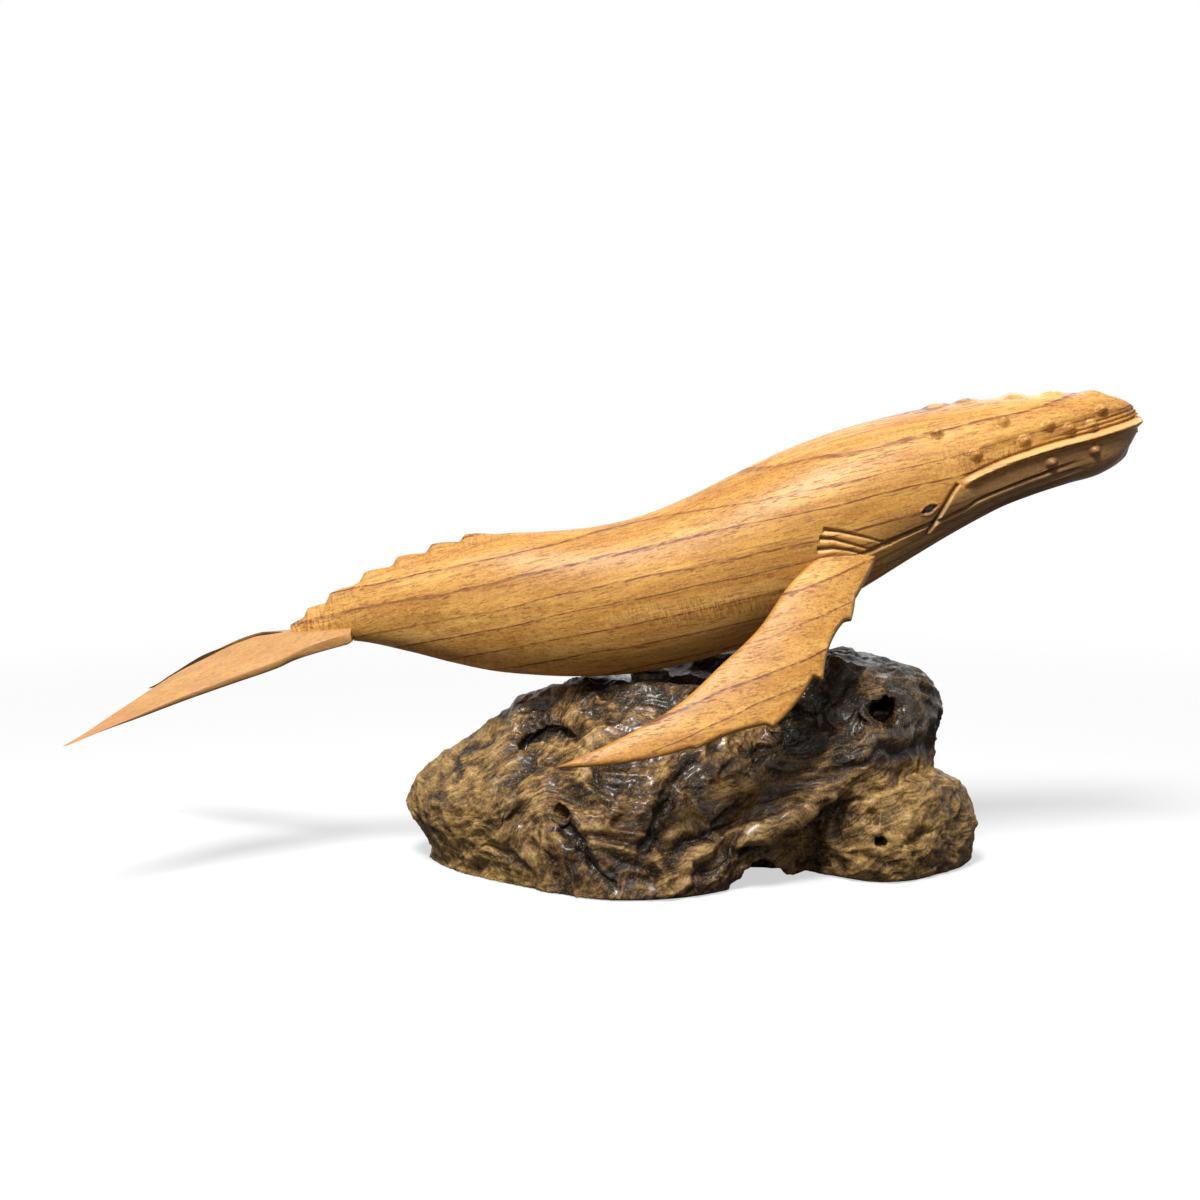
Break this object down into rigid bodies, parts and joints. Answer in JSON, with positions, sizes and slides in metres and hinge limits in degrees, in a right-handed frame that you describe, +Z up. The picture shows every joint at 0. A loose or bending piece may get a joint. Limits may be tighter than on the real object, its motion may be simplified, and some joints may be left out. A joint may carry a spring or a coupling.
{
  "type": "carved whale figurine",
  "caption": "Carved wooden humpback whale with scalloped flippers and a lapped tail fluke, resting on a steel pin in a gnarled varnished root stand.",
  "frame": {"origin": "on the root's flat underside, straight below the axis of the pin", "axes": "+Z up along the pin, +X towards the whale's snout, so the whale's right side is -Y"},
  "size_m": [0.4014, 0.1516, 0.1856],
  "materials": {
    "root_wood": "gloss varnish",
    "pin_steel": "drawn",
    "whale_wood": "satin oil",
    "flipper_wood": "satin oil",
    "fluke_wood": "satin oil",
    "dowel_wood": "raw"
  },
  "bodies": {
    "base": {"driftwood_base": "root_wood"},
    "pin": {"mounting_pin": "pin_steel"},
    "whale": {"whale_body": "whale_wood", "right_flipper": "flipper_wood", "left_flipper": "flipper_wood", "tail_fluke": "fluke_wood", "right_flipper_dowel": "dowel_wood", "left_flipper_dowel": "dowel_wood", "tail_dowel": "dowel_wood"}
  },
  "joints": [
    {"name": "whale_swivel", "type": "hinge", "parent": "base", "child": "pin", "pos_m": [0, 0, 0.0768], "axis": [0, 0, 1], "range_deg": [-12, 12]},
    {"name": "whale_lift_off", "type": "slide", "parent": "pin", "child": "whale", "axis": [0, 0, 1], "range_m": [0, 0.03]}
  ]
}
